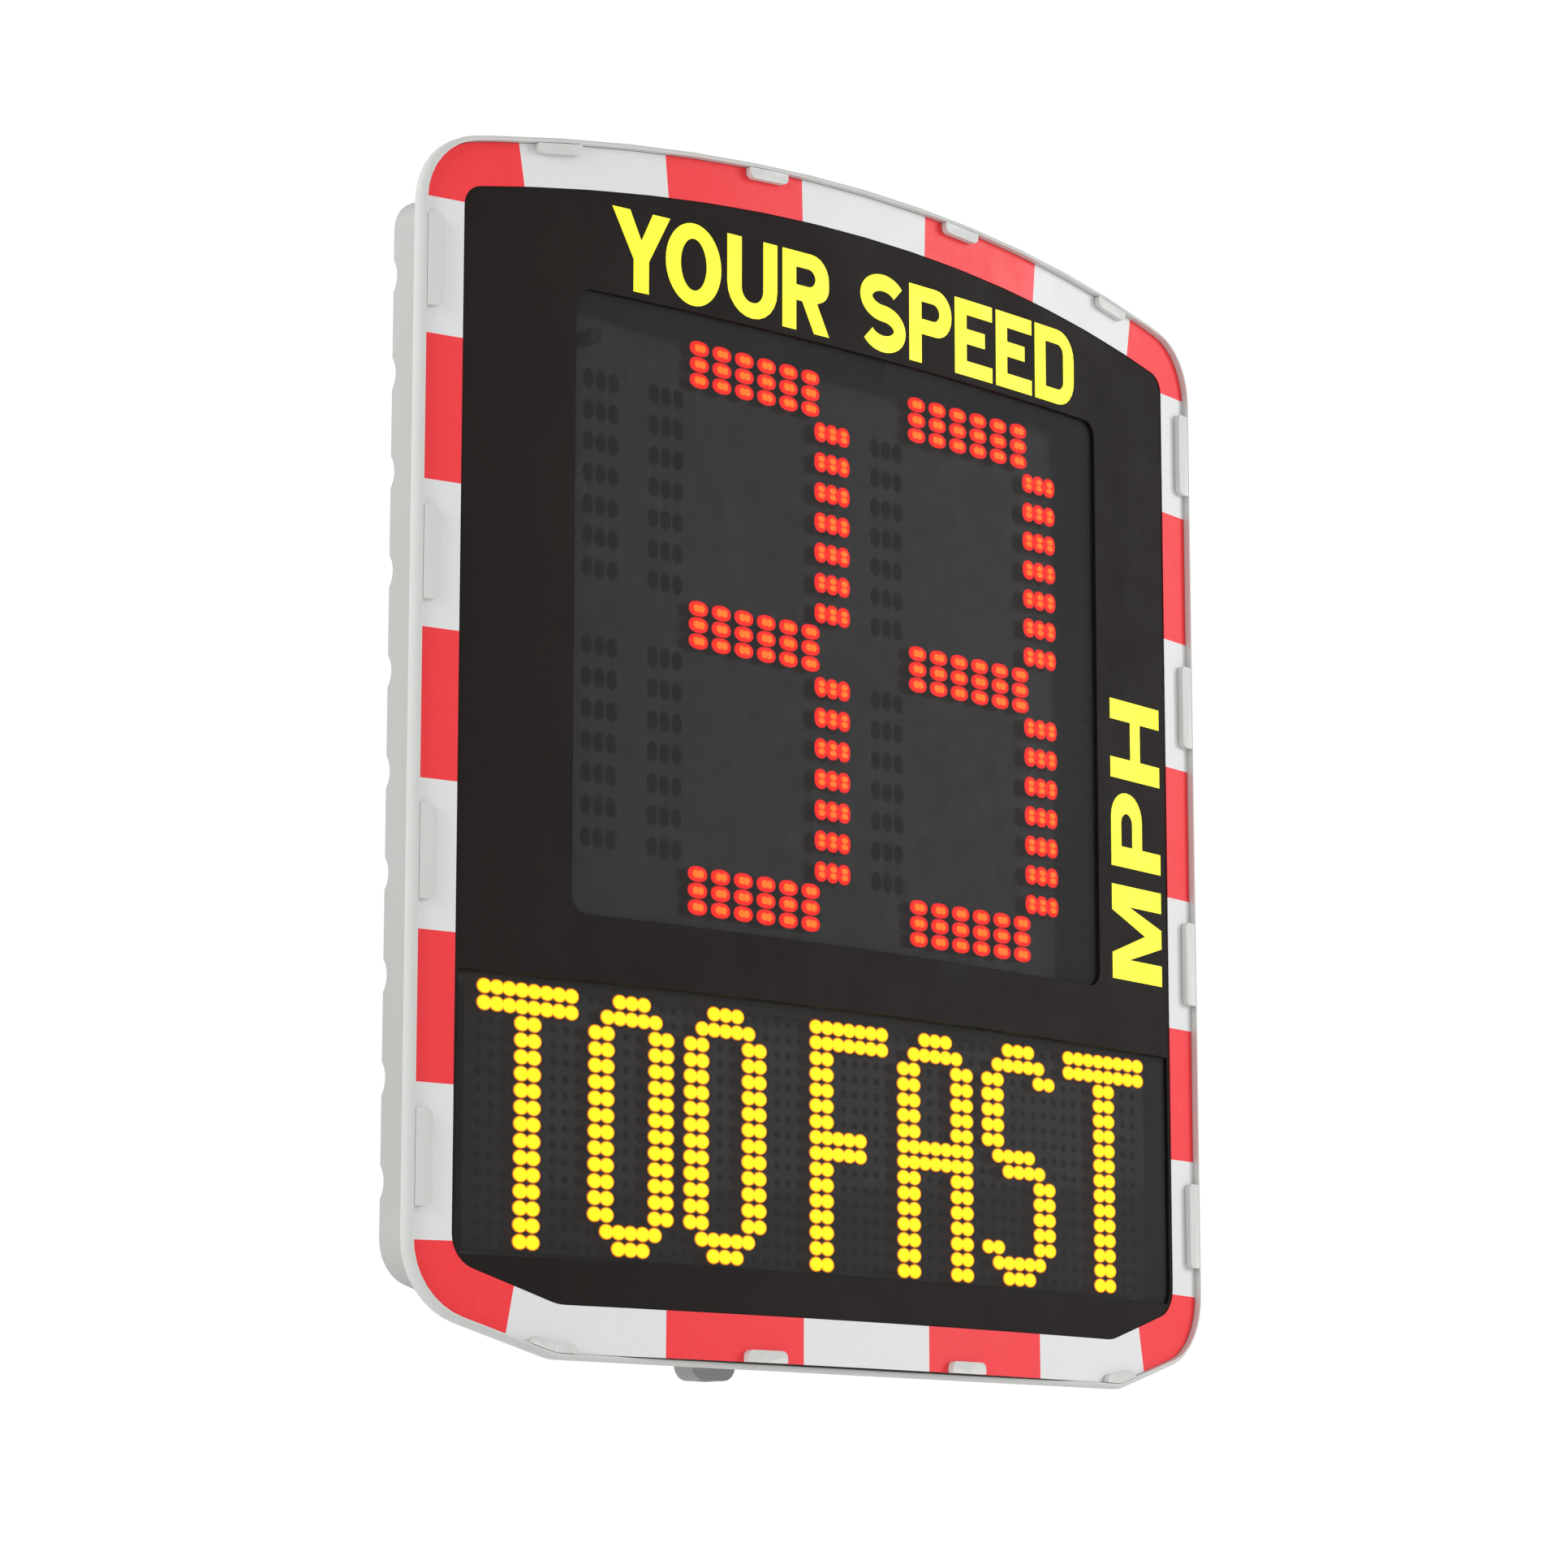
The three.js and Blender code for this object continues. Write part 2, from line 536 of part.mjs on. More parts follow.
function hangers() {
  const upperSpan = [HOOKS.upper - HANGER_DROP, HOOKS.upper + 40];
  const wall = CASING_BACK + GAP;
  let upper = block([-30, 30], [wall, wall + 4], upperSpan);
  for (const sideSign of [-1, 1]) {
    const x = CHEEK.map((value) => value * sideSign).sort((a, b) => a - b);
    upper = upper.add(block(x, [wall, -2], upperSpan));
  }
  add('upper_hanger', upper.subtract(hookSlot(HOOKS.upper)), FINISH.steel);

  const lowerSpan = [HOOKS.lower - HANGER_DROP, HOOKS.lower + HANGER_DROP];
  for (const [label, sideSign] of [['left', -1], ['right', 1]]) {
    const cheek = CHEEK.map((value) => value * sideSign).sort((a, b) => a - b);
    const foot = [CHEEK[1] - 1, 46].map((value) => value * sideSign).sort((a, b) => a - b);
    const plate = block(foot, [-RAIL_DEPTH, -13], lowerSpan);
    const bracket = block(cheek, [-RAIL_DEPTH, -2], lowerSpan).add(plate).subtract(hookSlot(HOOKS.lower));
    add(`lower_hanger_${label}`, bracket, FINISH.steel);
  }
}

function railLock() {
  const barrel = rod('z', 5.5, [-364.2, -334], [0, HOOK_Y], 24);
  const keyway = block([-0.8, 0.8], [HOOK_Y - 3, HOOK_Y + 3], [-366, -358]);
  add('rail_lock_barrel', barrel.subtract(keyway), FINISH.steel);
  const arm = block([0, 15], [HOOK_Y - 4, HOOK_Y + 4], [-333.7, -330.7]);
  const hub = rod('z', 5.5, [-333.7, -330.7], [0, HOOK_Y], 24);
  add('rail_lock_cam', arm.add(hub), FINISH.steel);
}

frontFrame();
facePanel();
reflectiveBorder();
windows();
clips();
frameGasket();
displayBoards();
displayChassis();
controllerBoard();
sensors();
hinges();
rearCasing();
doorLock();
batteries();
supplyElectronics();
floorFittings();
mountingRail();
hookPins();
hangers();
railLock();

export default sign;
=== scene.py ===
"""Solar speed sign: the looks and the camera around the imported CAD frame."""
import json
import math

import bmesh
import bpy
from mathutils import Matrix, Vector
from mathutils.geometry import tessellate_polygon

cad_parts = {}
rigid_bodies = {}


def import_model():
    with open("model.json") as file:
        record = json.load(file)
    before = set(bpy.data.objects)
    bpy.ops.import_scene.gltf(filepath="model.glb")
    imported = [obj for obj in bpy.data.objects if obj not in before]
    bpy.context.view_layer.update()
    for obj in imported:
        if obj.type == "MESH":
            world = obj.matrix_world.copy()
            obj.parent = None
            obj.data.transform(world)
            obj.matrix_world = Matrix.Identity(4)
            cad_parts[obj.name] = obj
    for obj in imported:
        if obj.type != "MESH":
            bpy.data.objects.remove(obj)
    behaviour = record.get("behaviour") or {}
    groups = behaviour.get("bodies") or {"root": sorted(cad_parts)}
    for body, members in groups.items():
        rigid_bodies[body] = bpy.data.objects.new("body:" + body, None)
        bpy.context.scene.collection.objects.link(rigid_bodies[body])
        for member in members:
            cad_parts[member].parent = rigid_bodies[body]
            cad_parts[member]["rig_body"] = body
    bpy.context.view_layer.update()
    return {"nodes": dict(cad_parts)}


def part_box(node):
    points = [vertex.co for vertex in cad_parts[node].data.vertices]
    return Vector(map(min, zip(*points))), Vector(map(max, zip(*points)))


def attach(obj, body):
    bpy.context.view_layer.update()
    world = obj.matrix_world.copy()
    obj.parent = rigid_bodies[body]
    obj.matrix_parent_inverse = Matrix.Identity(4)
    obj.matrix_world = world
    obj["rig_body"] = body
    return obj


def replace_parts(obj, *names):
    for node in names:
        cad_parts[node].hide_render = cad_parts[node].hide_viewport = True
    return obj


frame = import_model()

MM = 0.001

# Camera, solved for the picture's viewing angle
CAMERA_PLACE = (-2.04835, -2.1396, -0.5137)
CAMERA_RIGHT = (0.709451, -0.704754, 0.000362)
CAMERA_UP = (-0.122951, -0.123264, 0.984728)
CAMERA_FORWARD = (0.693947, 0.698661, 0.174100)
CAMERA_LENS = 109.39
CAMERA_SENSOR = 36
VIEW_LIMIT = 50

FLOOR_Z = -0.85
FLOOR_SIZE = 16

# Bowed front: distances in millimetres, heights counted backwards from the face
BOW_RADIUS = 1970.0
LIP_RISE = 5.2
FACE_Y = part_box("front_frame")[0].y / MM + LIP_RISE
HALF_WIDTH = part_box("front_frame")[1].x / MM
HALF_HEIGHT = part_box("front_frame")[1].z / MM
FILM_FRONT = -0.7
FILM_BACK = -0.3
LIP_WIDTH = 3.3
LEDGE_FRONT = 2.0
LEDGE_BACK = 4.8
BEND_MARGIN = 8
STRIP_PITCH = 7.0
SMOOTH_ANGLE = 35

RIM = dict(half=HALF_WIDTH, top=HALF_HEIGHT, arc=1700, bottom=-HALF_HEIGHT, kink=241, slope=0.287,
           top_corner=44, bottom_corner=48)
FACE = dict(half=307.7, top=336.2, arc=1672, bottom=-334.9, kink=236.5, slope=0.31,
            top_corner=13, bottom_corner=20)
CASING = dict(half=317, top=337.4, arc=1671, bottom=-341.9, kink=236, slope=0.29,
              top_corner=20, bottom_corner=26)
KINK_RADIUS = 32

# Lamps: places in millimetres, reaches as half widths and half heights
LAMP_BACK = -114.9
GLOW_Y = -120.0
DARK_Y = -115.6
LEADING_COLUMNS = (-200.65, -190.65, -180.65)
LAMP_PITCH_X = 19.05
LAMP_ROW_PITCH = 10.0
LAMP_PITCH_Z = 19.1
CORE_OFFSET = 2.025
FIRST_X = -116.45
ACROSS_TOPS = (248.2, 87.3, -73.7)
UPRIGHT_TOPS = (217.04, 56.1)
UPRIGHT_COLUMNS = (-10.15, -0.15, 9.85)
DIGIT_PITCH = 190.5
MIRROR_X = FIRST_X + 47.6
DOT_PITCH = (9.525, 9.56)
DOT_START = (-281.35, -156.2)
DOT_COLUMNS = 60
DOT_ROWS = 16
ACROSS_REACH = (8.3, 4.9)
UPRIGHT_REACH = (5.8, 6.5)
CORE_ACROSS_REACH = (2.8, 2.6)
CORE_UPRIGHT_REACH = (3.0, 2.0)
UNLIT_REACH = (4.4, 6.0)
DOT_REACH = (6.2, 4.75)
UNLIT_DOT_REACH = (2.4, 2.4)
RED_SQUARENESS = 2.3
CORE_LIFT = 0.6
LAMP_NECK = 0.4

# Film blocks: where the lines between them cross, for the right half
FILM_TOP_CUTS = (53.7, 161.2, 267.8)
FILM_SIDE_CUTS = (297.8, 216.6, 130.4, 44.2, -42.4, -128.7, -214.7, -302.3)
FILM_BOTTOM_CUTS = (160.0, 53.6)
FILM_TOP_Z = 322
FILM_TOP_REACH = 23
FILM_SIDE_X = (334.7, 307.7)
FILM_BOTTOM_Z = (-362, -333.4)
FILM_CORNER = ((271.8, -353), (265.6, -324.4))

# Legends: letter, then its two ends along the line
TOP_LEGEND = (("Y", -203.4, -160.1), ("O", -163.2, -120.3), ("U", -115.4, -75.0), ("R", -70.6, -31.4),
              ("S", -3.9, 36.8), ("P", 40.3, 80.1), ("E", 83.4, 120.1), ("E", 123.9, 160.6),
              ("D", 164.1, 205.9))
TOP_BASE = 265.7
TOP_HEIGHT = 49.8
TOP_STEM = 11.4
TOP_ARM = 9.8
SIDE_LEGEND = (("M", -102.95, -41.35), ("P", -29.35, 19.65), ("H", 28.65, 80.65))
SIDE_BASE = 300.0
SIDE_HEIGHT = 57.4
SIDE_STEM = 13.5
SIDE_ARM = 11.4
LETTER_FRONT = -0.25
LETTER_BACK = -0.03


# ---------------------------------------------------------------- outlines

def sag(x):
    return BOW_RADIUS - math.sqrt(BOW_RADIUS ** 2 - x * x)


def on_face(x, z, height):
    """A point on the bowed front, in metres."""
    return Vector((x * MM, (FACE_Y + sag(x) + height) * MM, z * MM))


def rounded(corners, steps=8):
    """Closed polygon from (x, y, radius) corners, each radius drawn as an arc."""
    points = []
    for i, (x, y, radius) in enumerate(corners):
        corner = Vector((x, y))
        if radius <= 0:
            points.append(corner)
            continue
        before = (Vector(corners[i - 1][:2]) - corner).normalized()
        after = (Vector(corners[(i + 1) % len(corners)][:2]) - corner).normalized()
        half = before.angle(after) / 2
        centre = corner + (before + after).normalized() * radius / math.sin(half)
        start = corner + before * radius / math.tan(half) - centre
        end = corner + after * radius / math.tan(half) - centre
        first = math.atan2(start.y, start.x)
        turn = math.atan2(end.y, end.x) - first
        turn = math.atan2(math.sin(turn), math.cos(turn))
        for step in range(steps + 1):
            angle = first + turn * step / steps
            points.append(centre + radius * Vector((math.cos(angle), math.sin(angle))))
    return points


def outline(form, inset=0.0):
    """The sign's outline with a crowned top and slanted lower shoulders, moved inwards by inset."""
    half = form["half"] - inset
    base = form["bottom"] + inset
    kink = form["kink"] - inset * math.tan(math.atan(form["slope"]) / 2)
    shoulder = base + (half - kink) * form["slope"]
    radius = form["arc"] - inset

    def crown(x):
        return form["top"] - form["arc"] + math.sqrt(radius ** 2 - x * x)

    top = max(form["top_corner"] - inset, 3)
    bottom = max(form["bottom_corner"] - inset, 3)
    corners = [(-kink, base, KINK_RADIUS), (kink, base, KINK_RADIUS),
               (half, shoulder, bottom), (half, crown(half), top)]
    steps = 14
    for i in range(1, steps):
        x = half - 2 * half * i / steps
        corners.append((x, crown(x), 0))
    corners += [(-half, crown(half), top), (-half, shoulder, bottom)]
    return rounded(corners)


# ---------------------------------------------------------------- materials

def rgb(hex_colour):
    """Linear colour from a display colour."""
    parts = [int(hex_colour[i:i + 2], 16) / 255 for i in (0, 2, 4)]
    return tuple(c / 12.92 if c <= 0.04045 else ((c + 0.055) / 1.055) ** 2.4 for c in parts) + (1.0,)


class Finish:
    """One procedural material around a Principled shader."""

    def __init__(self, name, metallic=0.0, specular=0.5, coat=0.0):
        self.material = bpy.data.materials.new(name)
        self.material.use_nodes = True
        self.tree = self.material.node_tree
        self.shader = self.tree.nodes["Principled BSDF"]
        self.shader.inputs["Metallic"].default_value = metallic
        self.shader.inputs["Specular IOR Level"].default_value = specular
        self.shader.inputs["Coat Weight"].default_value = coat
        self.place = self.node("ShaderNodeTexCoord").outputs["Object"]

    def node(self, kind, **values):
        made = self.tree.nodes.new(kind)
        for key, value in values.items():
            setattr(made, key, value)
        return made

    def link(self, source, target):
        self.tree.links.new(source, target)

    def stretched(self, scale):
        mapping = self.node("ShaderNodeMapping")
        mapping.inputs["Scale"].default_value = scale
        self.link(self.place, mapping.inputs["Vector"])
        return mapping.outputs["Vector"]

    def noise(self, scale, detail=4.0, stretch=None):
        made = self.node("ShaderNodeTexNoise")
        made.inputs["Scale"].default_value = scale
        made.inputs["Detail"].default_value = detail
        self.link(self.stretched(stretch) if stretch else self.place, made.inputs["Vector"])
        return made.outputs["Fac"]

    def ramp(self, source, low, high, start=0.3, end=0.7):
        made = self.node("ShaderNodeMapRange")
        made.inputs["From Min"].default_value = start
        made.inputs["From Max"].default_value = end
        made.inputs["To Min"].default_value = low
        made.inputs["To Max"].default_value = high
        self.link(source, made.inputs["Value"])
        return made.outputs["Result"]

    def blend(self, factor, first, second):
        made = self.node("ShaderNodeMix", data_type="RGBA")
        for socket, value in ((made.inputs[6], first), (made.inputs[7], second)):
            if isinstance(value, tuple):
                socket.default_value = value
            else:
                self.link(value, socket)
        self.link(factor, made.inputs[0])
        return made.outputs[2]

    def edges(self, low=0.52, high=0.6):
        pointiness = self.node("ShaderNodeNewGeometry").outputs["Pointiness"]
        return self.ramp(pointiness, 0.0, 1.0, low, high)

    def colour(self, source):
        self.link(source, self.shader.inputs["Base Color"])

    def roughness(self, source):
        self.link(source, self.shader.inputs["Roughness"])

    def bump(self, source, depth, strength=1.0):
        made = self.node("ShaderNodeBump")
        made.inputs["Distance"].default_value = depth
        made.inputs["Strength"].default_value = strength
        self.link(source, made.inputs["Height"])
        if self.shader.inputs["Normal"].is_linked:
            self.link(self.shader.inputs["Normal"].links[0].from_socket, made.inputs["Normal"])
        self.link(made.outputs["Normal"], self.shader.inputs["Normal"])


def coated(name, base, worn, rough=(0.42, 0.56), specular=0.5, dirt=0.08):
    """Powder-coated metal: orange peel, faint cloudiness, dust and lighter edges."""
    grain = 0.00006
    f = Finish(name, specular=specular)
    cloud = f.ramp(f.noise(9.0, 5.0), 0.0, 1.0)
    tinted = f.blend(f.ramp(cloud, 0.0, dirt, 0.0, 1.0), base, rgb("8a8577"))
    streaks = f.ramp(f.noise(14.0, 4.0, (3.0, 3.0, 0.35)), 0.0, dirt * 0.8, 0.5, 0.8)
    streaked = f.blend(streaks, tinted, rgb("6f6a5e"))
    f.colour(f.blend(f.edges(), streaked, worn))
    f.roughness(f.ramp(f.noise(30.0, 6.0), *rough))
    f.bump(f.noise(900.0, 2.0), grain, 0.5)
    f.bump(f.noise(260.0, 2.0), grain * 1.6, 0.4)
    return f.material


def reflective(name, base, pale):
    """Retroreflective film: a fine bead pattern under a clear top layer."""
    f = Finish(name, specular=0.14, coat=0.03)
    f.shader.inputs["Coat Roughness"].default_value = 0.2
    beads = f.node("ShaderNodeTexVoronoi", feature="F1")
    beads.inputs["Scale"].default_value = 620.0
    f.link(f.place, beads.inputs["Vector"])
    cells = f.ramp(beads.outputs["Distance"], 0.0, 1.0, 0.1, 0.8)
    beaded = f.blend(f.ramp(cells, 0.0, 0.35, 0.0, 1.0), base, pale)
    faded = f.blend(f.ramp(f.noise(5.0, 4.0), 0.0, 0.18), beaded, pale)
    f.colour(faded)
    f.roughness(f.ramp(f.noise(40.0, 4.0), 0.32, 0.46))
    f.bump(beads.outputs["Distance"], 0.00005, 0.4)
    return f.material


def lens_tint(name):
    """Smoke-tinted sheet with a fine anti-glare texture."""
    f = Finish(name, specular=0.03)
    smudge = f.ramp(f.noise(7.0, 5.0), 0.0, 1.0)
    f.colour(f.blend(smudge, rgb("3b3a3a"), rgb("3e3d3d")))
    f.roughness(f.ramp(f.noise(18.0, 5.0), 0.5, 0.6))
    f.shader.inputs["Alpha"].default_value = 0.5
    f.bump(f.noise(1500.0, 1.0), 0.000006, 0.3)
    return f.material


def moulded(name, base, pale, rough=(0.5, 0.7), specular=0.5):
    """Moulded plastic or rubber with a fine leathery texture."""
    grain = 0.00008
    f = Finish(name, specular=specular)
    f.colour(f.blend(f.ramp(f.noise(25.0, 5.0), 0.0, 0.5), base, pale))
    f.roughness(f.ramp(f.noise(60.0, 5.0), *rough))
    f.bump(f.noise(1100.0, 3.0), grain, 0.5)
    return f.material


def metal(name, base, dark):
    """Plated metal with directional brushing and handling marks."""
    f = Finish(name, metallic=1.0)
    brushed = f.noise(220.0, 6.0, (1.0, 1.0, 12.0))
    f.colour(f.blend(f.ramp(f.noise(12.0, 6.0), 0.0, 0.55), base, dark))
    f.roughness(f.ramp(brushed, 0.25, 0.45))
    f.bump(brushed, 0.00003, 0.35)
    return f.material


def circuit(name):
    """Solder mask over copper tracks."""
    f = Finish(name, specular=0.5, coat=0.3)
    tracks = f.node("ShaderNodeTexBrick")
    tracks.inputs["Scale"].default_value = 140.0
    tracks.inputs["Mortar Size"].default_value = 0.03
    tracks.inputs["Color1"].default_value = rgb("070908")
    tracks.inputs["Color2"].default_value = rgb("090c0a")
    tracks.inputs["Mortar"].default_value = rgb("101612")
    f.link(f.place, tracks.inputs["Vector"])
    f.colour(f.blend(f.ramp(f.noise(40.0), 0.0, 0.3), tracks.outputs["Color"], rgb("0b0e0c")))
    f.roughness(f.ramp(f.noise(80.0), 0.35, 0.55))
    f.bump(tracks.outputs["Fac"], 0.00004, 0.5)
    return f.material


def woven(name, base, pale):
    """Polyester webbing with a fine twill."""
    f = Finish(name, specular=0.3)
    f.shader.inputs["Sheen Weight"].default_value = 0.3
    weave = f.node("ShaderNodeTexWave", wave_type="BANDS", bands_direction="DIAGONAL")
    weave.inputs["Scale"].default_value = 420.0
    weave.inputs["Distortion"].default_value = 1.5
    f.link(f.place, weave.inputs["Vector"])
    f.colour(f.blend(weave.outputs["Fac"], base, pale))
    f.roughness(f.ramp(f.noise(200.0), 0.75, 0.92))
    f.bump(weave.outputs["Fac"], 0.0002, 0.6)
    return f.material


def lamp(name, stops, strength, body):
    """A lit lamp: its colour runs from the rim of the glow to its middle."""
    f = Finish(name, specular=0.2)
    f.shader.inputs["Base Color"].default_value = body
    f.shader.inputs["Emission Strength"].default_value = strength
    glow = f.node("ShaderNodeAttribute", attribute_name="glow").outputs["Fac"]
    ramp = f.node("ShaderNodeValToRGB")
    while len(ramp.color_ramp.elements) < len(stops):
        ramp.color_ramp.elements.new(0.5)
    for element, (position, colour) in zip(ramp.color_ramp.elements, stops):
        element.position = position
        element.color = (*colour, 1.0)
    f.link(glow, ramp.inputs["Fac"])
    f.link(ramp.outputs["Color"], f.shader.inputs["Emission Color"])
    f.roughness(f.ramp(f.noise(300.0), 0.3, 0.5))
    f.bump(f.noise(900.0, 1.0), 0.00003, 0.3)
    return f.material


def letter_film(name):
    """Fluorescent yellow film, with a faint painted glow (emission) standing in for its fluorescent
    brightness.
    """
    f = Finish(name, specular=0.2)
    f.colour(f.blend(f.ramp(f.noise(16.0, 5.0), 0.0, 0.4), (1.0, 0.93, 0.03, 1.0), (0.98, 0.88, 0.05, 1.0)))
    # Painted glow: a faint emission that lifts the film above what its lighting gives, standing in for
    # fluorescence
    f.shader.inputs["Emission Color"].default_value = (1.0, 0.93, 0.05, 1.0)
    f.shader.inputs["Emission Strength"].default_value = 0.35
    f.roughness(f.ramp(f.noise(50.0, 4.0), 0.4, 0.55))
    f.bump(f.noise(800.0, 2.0), 0.00003, 0.3)
    return f.material


SHELL = coated("shell_coat", rgb("d3d5d2"), rgb("dfe0dd"), specular=0.3)
CASING_COAT = coated("casing_coat", rgb("babcb9"), rgb("c8cac7"), specular=0.3)
FACE_COAT = coated("face_coat", rgb("201c1b"), rgb("282423"), rough=(0.5, 0.62), specular=0.05, dirt=0.015)
RED_FILM = reflective("film_red", (0.93, 0.042, 0.052, 1.0), (0.96, 0.08, 0.09, 1.0))
WHITE_FILM = reflective("film_white", (0.77, 0.775, 0.78, 1.0), (0.84, 0.84, 0.845, 1.0))
LENS = lens_tint("smoke_lens")
RUBBER = moulded("seal_rubber", rgb("0c0c0c"), rgb("151514"), (0.7, 0.9), specular=0.2)
BOARD = circuit("circuit_board")
MODULE = moulded("module_case", rgb("25272b"), rgb("34373b"))
STEEL = metal("zinc_steel", rgb("b9bcbd"), rgb("8f9394"))
BATTERY = moulded("battery_case", rgb("202225"), rgb("2d3034"), (0.42, 0.6))
STRAP = woven("strap_webbing", rgb("2b2e33"), rgb("43474d"))
RAIL = coated("rail_coat", rgb("959694"), rgb("a5a6a4"), specular=0.4)
BUTTON = moulded("button_red", rgb("9c2219"), rgb("b5362b"), (0.35, 0.5))
LETTER = letter_film("letter_film")
RED_GLOW_STOPS = ((0.0, (0.0, 0.0, 0.0)), (0.45, (0.6, 0.004, 0.003)), (1.0, (1.0, 0.012, 0.006)))
RED_CORE_STOPS = ((0.0, (1.0, 0.02, 0.003)), (0.6, (1.0, 0.12, 0.006)), (1.0, (1.0, 0.17, 0.01)))
AMBER_STOPS = ((0.0, (0.0, 0.0, 0.0)), (0.3, (0.85, 0.2, 0.0)), (0.75, (1.0, 0.75, 0.001)),
               (1.0, (1.0, 0.92, 0.002)))
RED_GLOW = lamp("lamp_red_glow", RED_GLOW_STOPS, 4.6, (0.05, 0.004, 0.003, 1.0))
RED_CORE = lamp("lamp_red_core", RED_CORE_STOPS, 4.8, (0.05, 0.004, 0.003, 1.0))
AMBER = lamp("lamp_amber", AMBER_STOPS, 4.5, (0.05, 0.03, 0.004, 1.0))
DARK_LAMP = moulded("lamp_unlit", rgb("080909"), rgb("0c0c0c"), (0.5, 0.65), specular=0.1)


# ---------------------------------------------------------------- mesh helpers

def make(name, verts, faces, body, materials, face_slots=None, smooth=SMOOTH_ANGLE):
    """A new mesh piece riding on a body."""
    mesh = bpy.data.meshes.new(name)
    mesh.from_pydata([tuple(v) for v in verts], [], faces)
    for m in materials:
        mesh.materials.append(m)
    if face_slots:
        mesh.polygons.foreach_set("material_index", face_slots)
    mesh.validate()
    piece = bpy.data.objects.new(name, mesh)
    bpy.context.scene.collection.objects.link(piece)
    soften(piece, smooth)
    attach(piece, body)
    return piece


def soften(piece, angle):
    """Smooth shading with sharp edges where faces meet at more than the angle."""
    piece.data.shade_smooth()
    piece.data.set_sharp_from_angle(angle=math.radians(angle))


def chord_sag(x, reach, steps=16):
    """Depth of the CAD's faceted bow at x."""
    step = 2 * reach / steps
    i = min(max(math.floor((x + reach) / step), 0), steps - 1)
    a = -reach + i * step
    part = (x - a) / step
    return sag(a) * (1 - part) + sag(a + step) * part


def refine(node, material, bevel, segments=2, bowed=False):
    """A copy of a CAD node with rounded edges, and with a smooth bow where the node has one."""
    source = frame["nodes"][node]
    mesh = source.data.copy()
    mesh.materials.clear()
    mesh.materials.append(material)
    bm = bmesh.new()
    bm.from_mesh(mesh)
    bmesh.ops.remove_doubles(bm, verts=bm.verts, dist=2e-6)
    if bowed:
        smooth_bow(bm)
    else:
        bmesh.ops.dissolve_limit(bm, angle_limit=math.radians(0.6), verts=bm.verts, edges=bm.edges)
    bm.to_mesh(mesh)
    bm.free()
    piece = bpy.data.objects.new(node + "_finished", mesh)
    bpy.context.scene.collection.objects.link(piece)
    if bevel:
        rounding = piece.modifiers.new("rounding", "BEVEL")
        rounding.width = bevel * MM
        rounding.segments = segments
        rounding.limit_method = "ANGLE"
        rounding.angle_limit = math.radians(30)
        rounding.use_clamp_overlap = True
        bake(piece)
    soften(piece, SMOOTH_ANGLE)
    weighting = piece.modifiers.new("weighting", "WEIGHTED_NORMAL")
    weighting.keep_sharp = True
    bake(piece)
    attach(piece, source["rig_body"])
    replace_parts(piece, node)
    return piece


def bake(piece):
    """Applies the piece's modifiers to its mesh."""
    graph = bpy.context.evaluated_depsgraph_get()
    finished = bpy.data.meshes.new_from_object(piece.evaluated_get(graph))
    piece.modifiers.clear()
    piece.data = finished


def smooth_bow(bm):
    """Cuts the piece into narrow upright strips and bends them onto the true bow."""
    reach = HALF_WIDTH + BEND_MARGIN
    for v in bm.verts:
        v.co.y -= chord_sag(v.co.x / MM, reach) * MM
    bmesh.ops.dissolve_limit(bm, angle_limit=math.radians(0.6), verts=bm.verts, edges=bm.edges)
    low = min(v.co.x for v in bm.verts) / MM
    high = max(v.co.x for v in bm.verts) / MM
    count = max(int((high - low) / STRIP_PITCH), 1)
    for i in range(1, count):
        x = (low + (high - low) * i / count) * MM
        everything = bm.verts[:] + bm.edges[:] + bm.faces[:]
        bmesh.ops.bisect_plane(bm, geom=everything, plane_co=(x, 0, 0), plane_no=(1, 0, 0), dist=1e-6)
    for v in bm.verts:
        v.co.y += sag(v.co.x / MM) * MM


# ---------------------------------------------------------------- front frame and film

def sweep(name, rings, material, node):
    """Joins rings of equal length into a closed tube with a free cross-section."""
    count = len(rings[0][0])
    verts = [on_face(p.x, p.y, height) for points, height in rings for p in points]
    faces = []
    for r in range(len(rings)):
        a = r * count
        b = (r + 1) % len(rings) * count
        for i in range(count):
            j = (i + 1) % count
            faces.append((a + i, a + j, b + j, b + i))
    piece = make(name, verts, faces, frame["nodes"][node]["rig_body"], [material])
    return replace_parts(piece, node)


def front_frame():
    profile = [(0, 2.1), (0, -2.2), (0.35, -3.2), (1.7, -4.7), (2.3, -5.12), (2.9, -5.2), (3.3, -4.9),
               (LIP_WIDTH, LEDGE_FRONT)]
    rings = [(outline(RIM, inset), height) for inset, height in profile]
    rings += [(outline(CASING, 6), LEDGE_FRONT), (outline(CASING, 6), LEDGE_BACK)]
    rings += [(outline(RIM, inset), height) for inset, height in ((1.8, LEDGE_BACK), (1.8, 2.5), (0.4, 2.5))]
    sweep("front_frame_finished", rings, SHELL, "front_frame")


def nearest_index(points, target):
    """Index of the point closest to the target."""
    return min(range(len(points)), key=lambda i: (points[i] - target).length)


def split_edges(points, longest=6.0):
    """The same closed polygon with no edge longer than the given length."""
    dense = []
    for i, p in enumerate(points):
        q = points[(i + 1) % len(points)]
        parts = max(int((q - p).length / longest), 1)
        dense += [p.lerp(q, k / parts) for k in range(parts)]
    return dense


